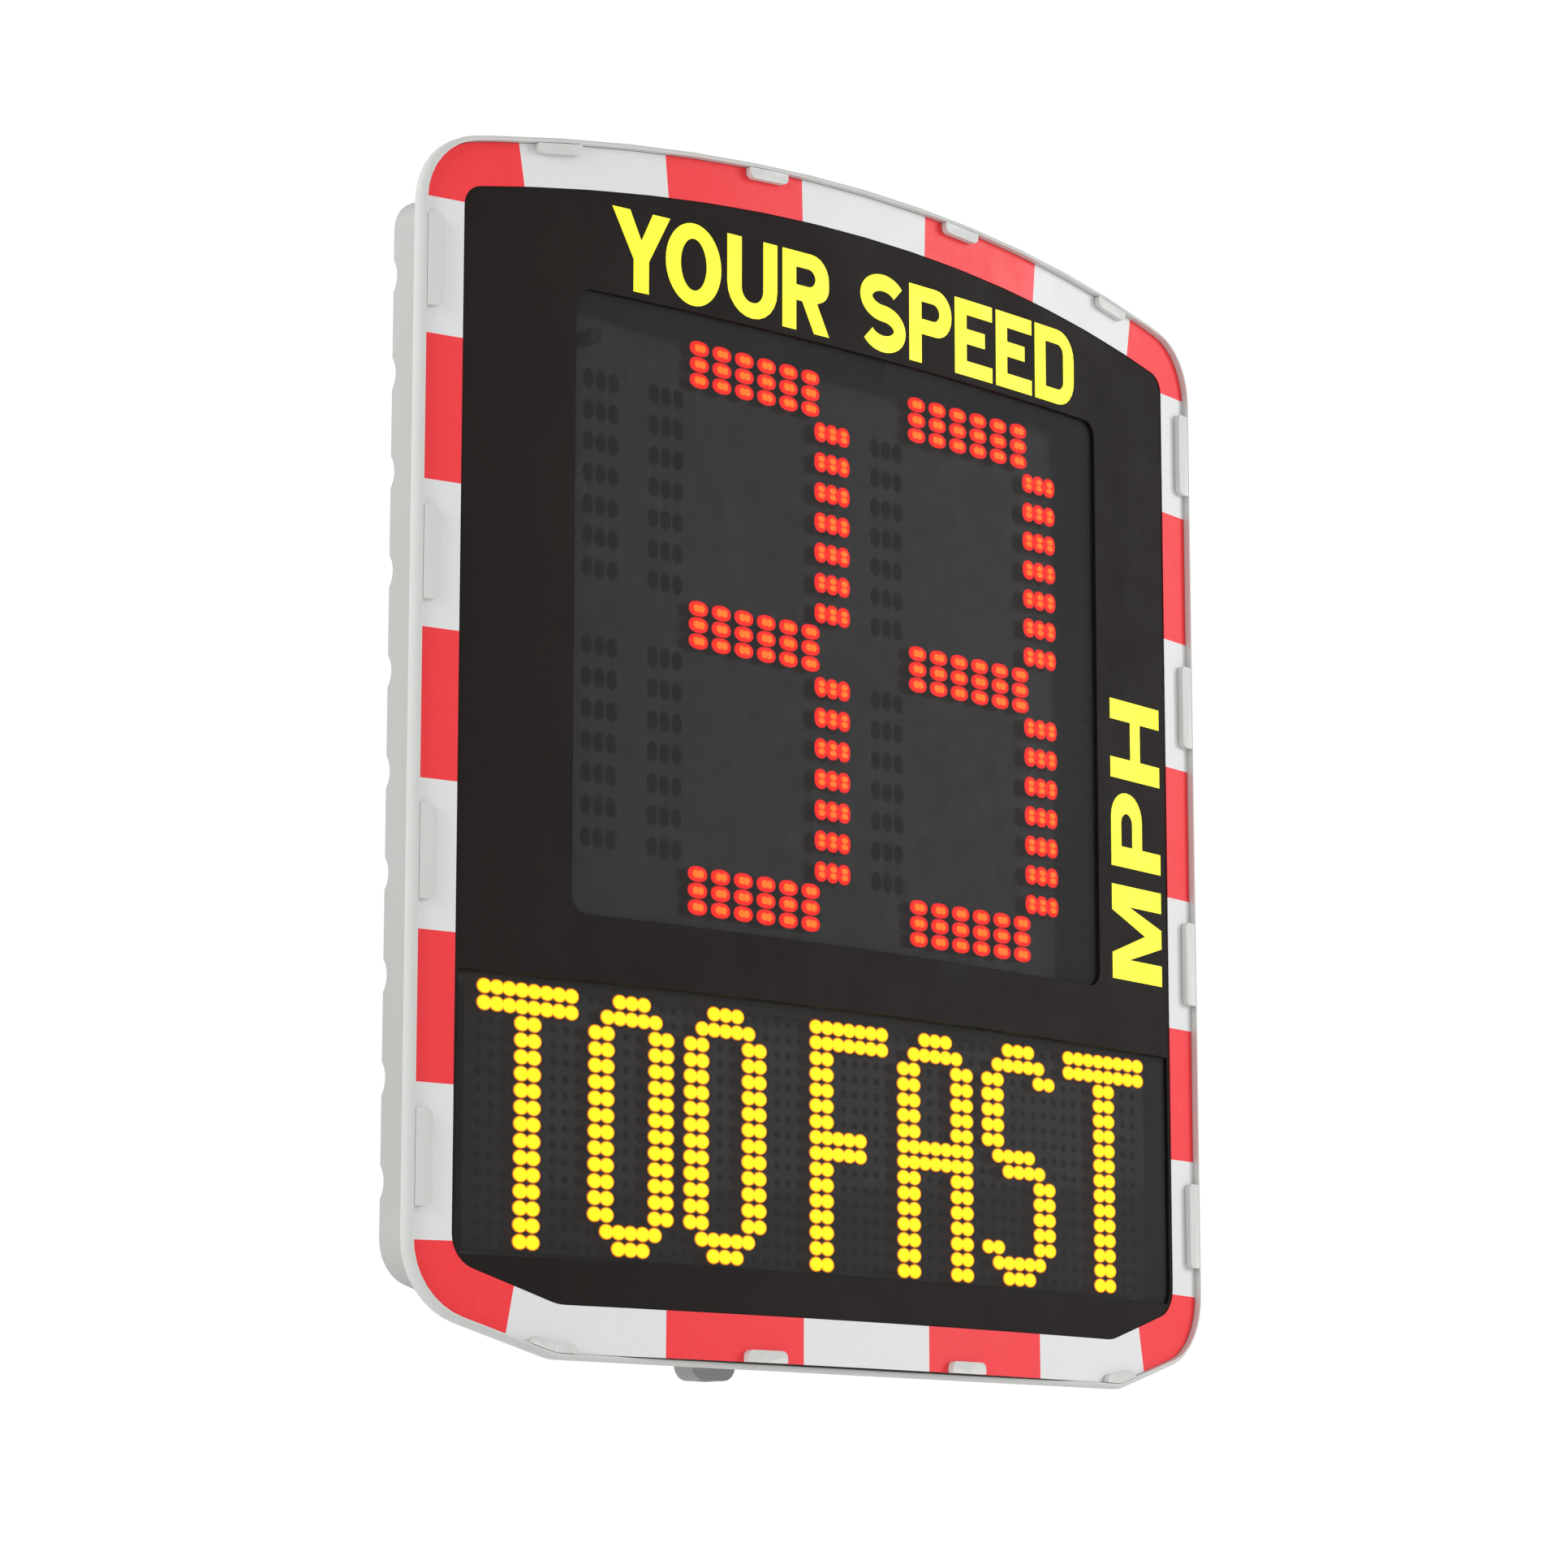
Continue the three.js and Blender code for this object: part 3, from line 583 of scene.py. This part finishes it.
def film_cuts():
    """Ends of the lines between blocks, outer then inner, for the right half from the top down."""
    centre = Vector((0, FACE["top"] - FACE["arc"]))
    cuts = []
    for x in FILM_TOP_CUTS:
        direction = (Vector((x, FILM_TOP_Z)) - centre).normalized()
        outer = centre + direction * (FACE["arc"] + FILM_TOP_REACH)
        inner = centre + direction * FACE["arc"]
        cuts.append((outer, inner))
    for z in FILM_SIDE_CUTS:
        cuts.append(tuple(Vector((x, z)) for x in FILM_SIDE_X))
    cuts.append(tuple(Vector(end) for end in FILM_CORNER))
    for x in FILM_BOTTOM_CUTS:
        cuts.append(tuple(Vector((x, z)) for z in FILM_BOTTOM_Z))
    return cuts


def between(points, start, end):
    """Points of a closed polygon from one index forward to another."""
    if end <= start:
        end += len(points)
    return [points[i % len(points)] for i in range(start, end + 1)]


def resampled(points, count):
    """The same path with count equal steps."""
    lengths = [0.0]
    for a, b in zip(points, points[1:]):
        lengths.append(lengths[-1] + (b - a).length)
    made = []
    k = 0
    for i in range(count + 1):
        at = lengths[-1] * i / count
        while k < len(points) - 2 and lengths[k + 1] < at:
            k += 1
        span = lengths[k + 1] - lengths[k]
        made.append(points[k].lerp(points[k + 1], (at - lengths[k]) / span if span else 0))
    return made


def reflective_border():
    right = film_cuts()
    left = [tuple(Vector((-p.x, p.y)) for p in pair) for pair in right]
    cuts = list(reversed(right)) + left
    outer = split_edges(outline(RIM, LIP_WIDTH + 0.3), 1.0)
    inner = split_edges(outline(FACE), 1.0)
    verts, faces, slots = [], [], []
    steps = 24
    for i, (start_out, start_in) in enumerate(cuts):
        end_out, end_in = cuts[(i + 1) % len(cuts)]
        a = resampled(between(outer, nearest_index(outer, start_out), nearest_index(outer, end_out)), steps)
        b = resampled(between(inner, nearest_index(inner, start_in), nearest_index(inner, end_in)), steps)
        base = len(verts)
        for p, q in zip(a, b):
            across = (p, p.lerp(q, 0.5), q)
            verts += [on_face(v.x, v.y, FILM_FRONT) for v in across]
            verts += [on_face(v.x, v.y, FILM_BACK) for v in reversed(across)]
        colour = i % 2
        for k in range(steps):
            s = base + 6 * k
            t = s + 6
            for r in range(6):
                faces.append((s + r, t + r, t + (r + 1) % 6, s + (r + 1) % 6))
                slots.append(colour)
        faces.append(tuple(base + r for r in range(6)))
        faces.append(tuple(base + 6 * steps + r for r in reversed(range(6))))
        slots += [colour, colour]
    piece = make("border_film_blocks", verts, faces, "door", [RED_FILM, WHITE_FILM], slots)
    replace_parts(piece, "reflective_border")


# ---------------------------------------------------------------- lamps

# Rings of a lamp's cap from its rim inwards: share of its reach, and strength of the glow there
HALO_RINGS = ((1.0, 0.1), (0.93, 0.55), (0.86, 1.0), (0.5, 1.0))
CORE_RINGS = ((1.0, 0.15), (0.86, 0.8), (0.74, 1.0), (0.3, 1.0))
DOT_RINGS = ((1.0, 0.1), (0.94, 0.2), (0.87, 0.38), (0.79, 0.8), (0.73, 1.0), (0.4, 1.0))


def lamp_outline(reach, share, power, sides):
    """Points around a lamp: an oval, squarer the higher the power, shrunk evenly by share."""
    turns = [2 * math.pi * (k + 0.5) / sides for k in range(sides)]
    points = []
    for t in turns:
        c, s = math.cos(t), math.sin(t)
        points.append((reach[0] * share * math.copysign(abs(c) ** (2 / power), c),
                       reach[1] * share * math.copysign(abs(s) ** (2 / power), s)))
    return points


def add_lamp(store, centre, reach, base, rise, rings, power, sides):
    """Adds one lamp: a narrow neck up from the board under a shallow domed cap."""
    verts, faces, glow = store
    x0, front, z0 = centre
    levels = [(LAMP_NECK, base, 0.0), (LAMP_NECK, front + rise + 0.05, 0.0)]
    for share, level in rings:
        dome = 1 - math.sqrt(max(0.0, 1 - share * share))
        levels.append((share, front + rise * dome, level))
    start = len(verts)
    for share, y, level in levels:
        for x, z in lamp_outline(reach, share, power, sides):
            verts.append(Vector(((x0 + x) * MM, y * MM, (z0 + z) * MM)))
            glow.append(level)
    for r in range(len(levels) - 1):
        for k in range(sides):
            n = (k + 1) % sides
            i = start + r * sides
            faces.append((i + k, i + n, i + sides + n, i + sides + k))
    top = start + (len(levels) - 1) * sides
    faces.append(tuple(top + k for k in range(sides)))
    faces.append(tuple(start + k for k in reversed(range(sides))))


def lamp_set(name, material, centres, reach, base=LAMP_BACK, rise=0.4, rings=HALO_RINGS, power=2.0, sides=20):
    """One piece holding a lamp at each centre."""
    store = ([], [], [])
    for centre in centres:
        add_lamp(store, centre, reach, base, rise, rings, power, sides)
    verts, faces, glow = store
    piece = make(name, verts, faces, "door", [material], smooth=50)
    values = piece.data.attributes.new("glow", "FLOAT", "POINT")
    values.data.foreach_set("value", glow)


def digit_places(offset, lit):
    """Centres of a digit's lamps and whether each lies across: all segments, or the lit ones of a three."""
    places = []
    if lit:
        for top in ACROSS_TOPS:
            for row in range(3):
                for column in range(6):
                    x = FIRST_X + CORE_OFFSET + LAMP_PITCH_X * column
                    places.append((x + offset, top - LAMP_ROW_PITCH * row, True))
    columns = UPRIGHT_COLUMNS if lit else [2 * MIRROR_X - x for x in UPRIGHT_COLUMNS]
    for top in UPRIGHT_TOPS:
        for row in range(7):
            for x in columns:
                places.append((x + offset, top - CORE_OFFSET - LAMP_PITCH_Z * row, False))
    return places


def number_lamps():
    """Two lit digits, their unlit segments, and the unlit half digit before them."""
    across, upright, across_cores, upright_cores, dark = [], [], [], [], []
    for offset in (0.0, DIGIT_PITCH):
        for x, z, lies in digit_places(offset, True):
            (across if lies else upright).append((x, GLOW_Y, z))
            for shift in (-CORE_OFFSET, CORE_OFFSET):
                if lies:
                    across_cores.append((x + shift, GLOW_Y - CORE_LIFT, z))
                else:
                    upright_cores.append((x, GLOW_Y - CORE_LIFT, z + shift))
        dark += [(x, DARK_Y, z) for x, z, _ in digit_places(offset, False)]
    for top in UPRIGHT_TOPS:
        for row in range(7):
            for x in LEADING_COLUMNS:
                dark.append((x, DARK_Y, top - CORE_OFFSET - LAMP_PITCH_Z * row))
    lamp_set("number_lamps_across", RED_GLOW, across, ACROSS_REACH, power=RED_SQUARENESS)
    lamp_set("number_lamps_upright", RED_GLOW, upright, UPRIGHT_REACH, power=RED_SQUARENESS)
    core = dict(base=GLOW_Y - 0.1, rise=0.2, rings=CORE_RINGS, sides=12)
    lamp_set("number_cores_across", RED_CORE, across_cores, CORE_ACROSS_REACH, **core)
    lamp_set("number_cores_upright", RED_CORE, upright_cores, CORE_UPRIGHT_REACH, **core)
    lamp_set("number_lamps_unlit", DARK_LAMP, dark, UNLIT_REACH, sides=12)


# Lit lamps of each letter: rows, then the columns lit in them
GLYPH_ROWS = {
    "T": [((1, 2), range(8)), (range(3, 17), (3, 4))],
    "O": [((1, 16), range(2, 5)), ((2, 15), range(1, 6)), (range(3, 15), (0, 1, 5, 6))],
    "F": [((1, 2), range(7)), (range(3, 8), (0, 1)), ((8, 9), range(5)), (range(10, 17), (0, 1))],
    "A": [((1,), range(2, 5)), ((2,), range(1, 6)), (range(3, 8), (0, 1, 5, 6)), ((8, 9), range(7)),
          (range(10, 17), (0, 1, 5, 6))],
    "S": [((1, 16), range(2, 5)), ((2, 15), range(1, 6)), ((3, 14), (0, 1, 5, 6)), (range(4, 8), (0, 1)),
          ((8,), range(1, 5)), ((9,), range(2, 6)), (range(10, 14), (5, 6))],
}
# First column and letter
MESSAGE = ((0, "T"), (9, "O"), (17, "O"), (28, "F"), (36, "A"), (44, "S"), (52, "T"))


def text_lamps():
    """The lit message and the unlit lamps around it."""
    lit = set()
    for start, letter in MESSAGE:
        for rows, columns in GLYPH_ROWS[letter]:
            lit |= {(start + c, r - 1) for r in rows for c in columns}
    bright, dark = [], []
    for column in range(DOT_COLUMNS):
        for row in range(DOT_ROWS):
            x = DOT_START[0] + DOT_PITCH[0] * column
            z = DOT_START[1] - DOT_PITCH[1] * row
            if (column, row) in lit:
                bright.append((x, GLOW_Y, z))
            else:
                dark.append((x, DARK_Y, z))
    lamp_set("text_lamps_lit", AMBER, bright, DOT_REACH, rings=DOT_RINGS)
    lamp_set("text_lamps_unlit", DARK_LAMP, dark, UNLIT_DOT_REACH, rise=0.3, sides=8, rings=HALO_RINGS[:2])


# ---------------------------------------------------------------- legends

def glyph(letter, w, h, stem, arm):
    """Outline and holes of a plain block letter, w wide and h tall, as (x, y, corner radius)."""
    if letter == "E":
        middle = h * 0.52
        reach = w * 0.8
        return [[(0, 0, 0), (w, 0, 0), (w, arm, 0), (stem, arm, 0), (stem, middle - arm / 2, 0),
                 (reach, middle - arm / 2, 0), (reach, middle + arm / 2, 0), (stem, middle + arm / 2, 0),
                 (stem, h - arm, 0), (w, h - arm, 0), (w, h, 0), (0, h, 0)]]
    if letter == "H":
        low, high = h * 0.5 - arm / 2, h * 0.5 + arm / 2
        return [[(0, 0, 0), (stem, 0, 0), (stem, low, 0), (w - stem, low, 0), (w - stem, 0, 0), (w, 0, 0),
                 (w, h, 0), (w - stem, h, 0), (w - stem, high, 0), (stem, high, 0), (stem, h, 0), (0, h, 0)]]
    if letter == "U":
        belly = w / 2 - 0.2
        return [[(0, 0, belly), (w, 0, belly), (w, h, 0), (w - stem, h, 0), (w - stem, arm, belly - stem),
                 (stem, arm, belly - stem), (stem, h, 0), (0, h, 0)]]
    if letter == "O":
        return [oval(w / 2, h / 2, w / 2, h / 2 + 0.7), oval(w / 2, h / 2, w / 2 - stem, h / 2 - arm + 1.0)]
    if letter == "D":
        r = min(w, h) * 0.42
        inner = max(r - stem, 2.0)
        return [[(0, 0, 0), (w, 0, r), (w, h, r), (0, h, 0)],
                [(stem, arm, 0), (w - stem, arm, inner), (w - stem, h - arm, inner), (stem, h - arm, 0)]]
    if letter in "PR":
        low = h * 0.38
        bowl = (h - low) * 0.48
        bend = bowl - arm + 1
        hole = [(stem, low + arm, 0), (w - stem, low + arm, bend), (w - stem, h - arm, bend),
                (stem, h - arm, 0)]
        if letter == "P":
            return [[(0, 0, 0), (stem, 0, 0), (stem, low, 0), (w, low, bowl), (w, h, bowl), (0, h, 0)], hole]
        return [[(0, 0, 0), (stem, 0, 0), (stem, low, 0), (w * 0.42, low, 0), (w - stem * 1.12, 0, 0),
                 (w, 0, 0), (w * 0.74, low * 1.02, 0), (w, low * 1.25, bowl * 0.7), (w, h, bowl),
                 (0, h, 0)], hole]
    if letter == "Y":
        fork = h * 0.4
        c = w / 2
        half = stem / 2
        return [[(c - half, 0, 0), (c + half, 0, 0), (c + half, fork, 0), (w, h, 0), (w - stem * 1.15, h, 0),
                 (c, fork + stem * 1.05, 0), (stem * 1.15, h, 0), (0, h, 0), (c - half, fork, 0)]]
    if letter == "M":
        c = w / 2
        tip = stem * 0.45
        return [[(0, 0, 0), (stem, 0, 0), (stem, h * 0.66, 0), (c - tip, 0, 0), (c + tip, 0, 0),
                 (w - stem, h * 0.66, 0), (w - stem, 0, 0), (w, 0, 0), (w, h, 0), (w - stem * 1.25, h, 0),
                 (c, h * 0.34, 0), (stem * 1.25, h, 0), (0, h, 0)]]
    return [snake(w, h, (stem + arm) / 2)]


def oval(x, y, a, b, steps=44):
    turns = [2 * math.pi * k / steps for k in range(steps)]
    return [(x + a * math.cos(t), y + b * math.sin(t), 0) for t in turns]


def snake(w, h, stroke, steps=22):
    """The letter S as a stroke along two joined half-ovals."""
    a, b = (w - stroke) / 2, (h - stroke) / 4
    upper, lower = h - stroke / 2 - b, stroke / 2 + b
    path = [(upper, math.radians(28 + (270 - 28) * k / steps)) for k in range(steps)]
    path += [(lower, math.radians(90 - (270 - 28) * k / steps)) for k in range(steps + 1)]
    spine = [Vector((w / 2 + a * math.cos(t), y + b * math.sin(t))) for y, t in path]
    left, right = [], []
    for i, p in enumerate(spine):
        along = (spine[min(i + 1, len(spine) - 1)] - spine[max(i - 1, 0)]).normalized()
        across = Vector((-along.y, along.x)) * stroke / 2
        left.append((*(p + across), 0))
        right.append((*(p - across), 0))
    return left + right[::-1]


def flat_letter(loops, place, name):
    """A thin film letter on the bowed face: place turns letter coordinates into the face's x and z."""
    outlines = [rounded(loop, 6) for loop in loops]
    bm = bmesh.new()
    flat = [[Vector((p.x, p.y, 0)) for p in points] for points in outlines]
    corners = [bm.verts.new(p) for points in flat for p in points]
    for tri in tessellate_polygon(flat):
        bm.faces.new([corners[i] for i in tri])
    bmesh.ops.dissolve_limit(bm, angle_limit=0.01, verts=bm.verts, edges=bm.edges)
    low = min(v.co.x for v in bm.verts)
    high = max(v.co.x for v in bm.verts)
    for i in range(1, 8):
        at = low + (high - low) * i / 8
        everything = bm.verts[:] + bm.edges[:] + bm.faces[:]
        bmesh.ops.bisect_plane(bm, geom=everything, plane_co=(at, 0, 0), plane_no=(1, 0, 0), dist=1e-4)
    for f in bm.faces:
        f.normal_update()
    thick = bmesh.ops.extrude_face_region(bm, geom=bm.faces[:])
    back = [v for v in thick["geom"] if isinstance(v, bmesh.types.BMVert)]
    for v in bm.verts:
        v.co.z = LETTER_FRONT
    for v in back:
        v.co.z = LETTER_BACK
    for v in bm.verts:
        x, z = place(v.co.x, v.co.y)
        v.co = on_face(x, z, v.co.z)
    bmesh.ops.recalc_face_normals(bm, faces=bm.faces)
    mesh = bpy.data.meshes.new(name)
    bm.to_mesh(mesh)
    bm.free()
    mesh.materials.append(LETTER)
    piece = bpy.data.objects.new(name, mesh)
    bpy.context.scene.collection.objects.link(piece)
    soften(piece, 40)
    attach(piece, "door")


def legends():
    """The words above the number window, and the unit running up its right side."""
    for i, (letter, left, right) in enumerate(TOP_LEGEND):
        loops = glyph(letter, right - left, TOP_HEIGHT, TOP_STEM, TOP_ARM)
        flat_letter(loops, lambda x, y, left=left: (left + x, TOP_BASE + y), f"top_legend_{i + 1}")
    for i, (letter, low, high) in enumerate(SIDE_LEGEND):
        loops = glyph(letter, high - low, SIDE_HEIGHT, SIDE_STEM, SIDE_ARM)
        flat_letter(loops, lambda x, y, low=low: (SIDE_BASE - y, low + x), f"side_legend_{i + 1}")


# ---------------------------------------------------------------- everything else

def finished_nodes():
    """Every other CAD node with its material and its edge rounding in millimetres."""
    bowed = [
        ("face_panel", FACE_COAT, 0.35),
        ("number_window", LENS, 0.3),
        ("text_window", LENS, 0.3),
        ("number_window_seal", RUBBER, 0),
        ("text_window_seal", RUBBER, 0),
        ("frame_gasket", RUBBER, 0.4),
    ]
    for node, material, bevel in bowed:
        refine(node, material, bevel, bowed=True)
    for node in [n for n in frame["nodes"] if n.startswith("clip_")]:
        refine(node, SHELL, 0.9, segments=3, bowed=True)
    plain = {
        "rear_casing": (CASING_COAT, 1.3),
        "number_led_board": (BOARD, 0.2),
        "text_led_board": (BOARD, 0.2),
        "display_chassis": (STEEL, 0.3),
        "controller_board": (BOARD, 0.3),
        "radar_module": (MODULE, 0.8),
        "light_sensor": (MODULE, 0.6),
        "hinge_door_leaf_upper": (STEEL, 0.3),
        "hinge_door_leaf_lower": (STEEL, 0.3),
        "hinge_casing_leaf_upper": (STEEL, 0.3),
        "hinge_casing_leaf_lower": (STEEL, 0.3),
        "hinge_pin_upper": (STEEL, 0.3),
        "hinge_pin_lower": (STEEL, 0.3),
        "door_lock_barrel": (STEEL, 0.4),
        "door_lock_cam": (STEEL, 0.3),
        "door_strike": (STEEL, 0.3),
        "battery_tray": (STEEL, 0.3),
        "battery_left": (BATTERY, 2.0),
        "battery_right": (BATTERY, 2.0),
        "battery_strap_left": (STRAP, 0.3),
        "battery_strap_right": (STRAP, 0.3),
        "charge_controller": (MODULE, 1.5),
        "fuse_holder": (MODULE, 0.8),
        "solar_inlet_gland": (RUBBER, 0.6),
        "vent_plug": (RUBBER, 0.6),
        "power_button_bezel": (STEEL, 0.4),
        "power_button": (BUTTON, 0.8),
        "mounting_rail": (RAIL, 0.8),
        "hook_pin_upper": (STEEL, 0.6),
        "hook_pin_lower": (STEEL, 0.6),
        "upper_hanger": (STEEL, 0.6),
        "lower_hanger_left": (STEEL, 0.6),
        "lower_hanger_right": (STEEL, 0.6),
        "rail_lock_barrel": (STEEL, 0.3),
        "rail_lock_cam": (STEEL, 0.3),
    }
    for node, (material, bevel) in plain.items():
        refine(node, material, bevel)


# ---------------------------------------------------------------- camera, floor and light

def camera():
    data = bpy.data.cameras.new("camera")
    data.sensor_width = CAMERA_SENSOR
    data.lens = CAMERA_LENS
    data.clip_end = VIEW_LIMIT
    cam = bpy.data.objects.new("camera", data)
    columns = (Vector(CAMERA_RIGHT), Vector(CAMERA_UP), -Vector(CAMERA_FORWARD))
    turned = Matrix(columns).transposed().to_4x4()
    cam.matrix_world = Matrix.Translation(CAMERA_PLACE) @ turned
    bpy.context.scene.collection.objects.link(cam)
    bpy.context.scene.camera = cam


def floor():
    bpy.ops.mesh.primitive_plane_add(size=FLOOR_SIZE, location=(0, 0, FLOOR_Z))
    ground = bpy.context.object
    ground.name = "floor"
    paint = Finish("floor_paint", specular=0.2)
    paint.colour(paint.blend(paint.noise(1.5), rgb("efefef"), rgb("f3f3f3")))
    paint.roughness(paint.ramp(paint.noise(6.0), 0.8, 0.9))
    ground.data.materials.append(paint.material)


def area_light(name, place, target, size, power):
    """A square soft light aimed at a point."""
    data = bpy.data.lights.new(name, "AREA")
    data.shape = "RECTANGLE"
    data.size = size
    data.size_y = size
    data.energy = power
    lamp_object = bpy.data.objects.new(name, data)
    lamp_object.location = place
    lamp_object.rotation_euler = (Vector(target) - Vector(place)).to_track_quat("-Z", "Y").to_euler()
    bpy.context.scene.collection.objects.link(lamp_object)


def lights():
    world = bpy.data.worlds.new("studio")
    world.use_nodes = True
    tree = world.node_tree
    background = tree.nodes["Background"]
    background.inputs["Color"].default_value = (1.0, 1.0, 1.0, 1.0)
    path = tree.nodes.new("ShaderNodeLightPath")
    level = tree.nodes.new("ShaderNodeMapRange")
    level.inputs["To Min"].default_value = 0.57
    level.inputs["To Max"].default_value = 1.05
    tree.links.new(path.outputs["Is Camera Ray"], level.inputs["Value"])
    tree.links.new(level.outputs["Result"], background.inputs["Strength"])
    bpy.context.scene.world = world
    area_light("key", (3.1, -2.6, 1.0), (0, -0.1, 0), 1.8, 69)
    area_light("fill", (-3.4, -0.6, 0.9), (0, -0.1, 0), 1.6, 36)
    area_light("back", (-1.6, 2.8, 1.6), (0, 0, 0), 2.0, 30)
    bpy.context.scene.view_settings.view_transform = "Standard"


camera()
floor()
lights()
front_frame()
reflective_border()
number_lamps()
text_lamps()
legends()
finished_nodes()
